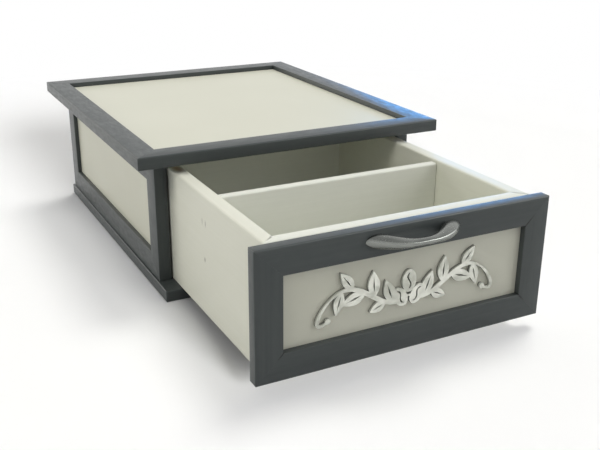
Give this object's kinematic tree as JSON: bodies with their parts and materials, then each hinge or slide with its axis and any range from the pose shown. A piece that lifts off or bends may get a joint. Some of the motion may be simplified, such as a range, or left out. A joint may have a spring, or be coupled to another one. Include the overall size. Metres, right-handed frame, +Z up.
{
  "type": "countertop coffee pod drawer",
  "caption": "Low wooden countertop cabinet of mitred frames and panels, its drawer pulled out, with a cross divider and a bow handle.",
  "frame": {"origin": "centre of the base board's underside, where the cabinet stands on a worktop", "axes": "+X to the right, +Y to the back (the drawer opens along -Y), +Z up"},
  "size_m": [0.35, 0.637, 0.157],
  "materials": {
    "grey_paint": "satin chalk paint in mid grey on wood",
    "cream_paint": "satin paint in warm off-white on boards",
    "cream_panel": "satin paint in warm off-white on smooth panels",
    "satin_nickel": "satin nickel",
    "steel": "zinc-plated steel",
    "mirror_acrylic": "clear mirror acrylic with polished edges"
  },
  "bodies": {
    "cabinet": {"top_frame_front_rail": "grey_paint", "top_frame_back_rail": "grey_paint", "top_frame_left_rail": "grey_paint", "top_frame_right_rail": "grey_paint", "top_panel": "cream_panel", "left_side_top_rail": "grey_paint", "left_side_bottom_rail": "grey_paint", "left_side_front_stile": "grey_paint", "left_side_back_stile": "grey_paint", "left_side_panel": "cream_panel", "right_side_top_rail": "grey_paint", "right_side_bottom_rail": "grey_paint", "right_side_front_stile": "grey_paint", "right_side_back_stile": "grey_paint", "right_side_panel": "cream_panel", "back_panel": "grey_paint", "back_panel_brads": "steel", "base_board": "grey_paint", "base_screws": "steel"},
    "drawer": {"drawer_left_board": "cream_paint", "drawer_right_board": "cream_paint", "drawer_inner_front": "cream_paint", "drawer_back_board": "cream_paint", "drawer_bottom": "cream_panel", "drawer_divider": "cream_paint", "drawer_corner_brads": "steel", "divider_brads": "steel", "drawer_front_top_rail": "grey_paint", "drawer_front_bottom_rail": "grey_paint", "drawer_front_left_stile": "grey_paint", "drawer_front_right_stile": "grey_paint", "drawer_front_panel": "cream_panel", "drawer_front_screws": "steel", "bow_handle": "satin_nickel", "handle_screws": "steel", "front_ornament": "mirror_acrylic"}
  },
  "joints": [
    {"name": "drawer_slide", "type": "slide", "parent": "cabinet", "child": "drawer", "axis": [0, -1, 0], "range_m": [-0.225, 0.1]}
  ]
}
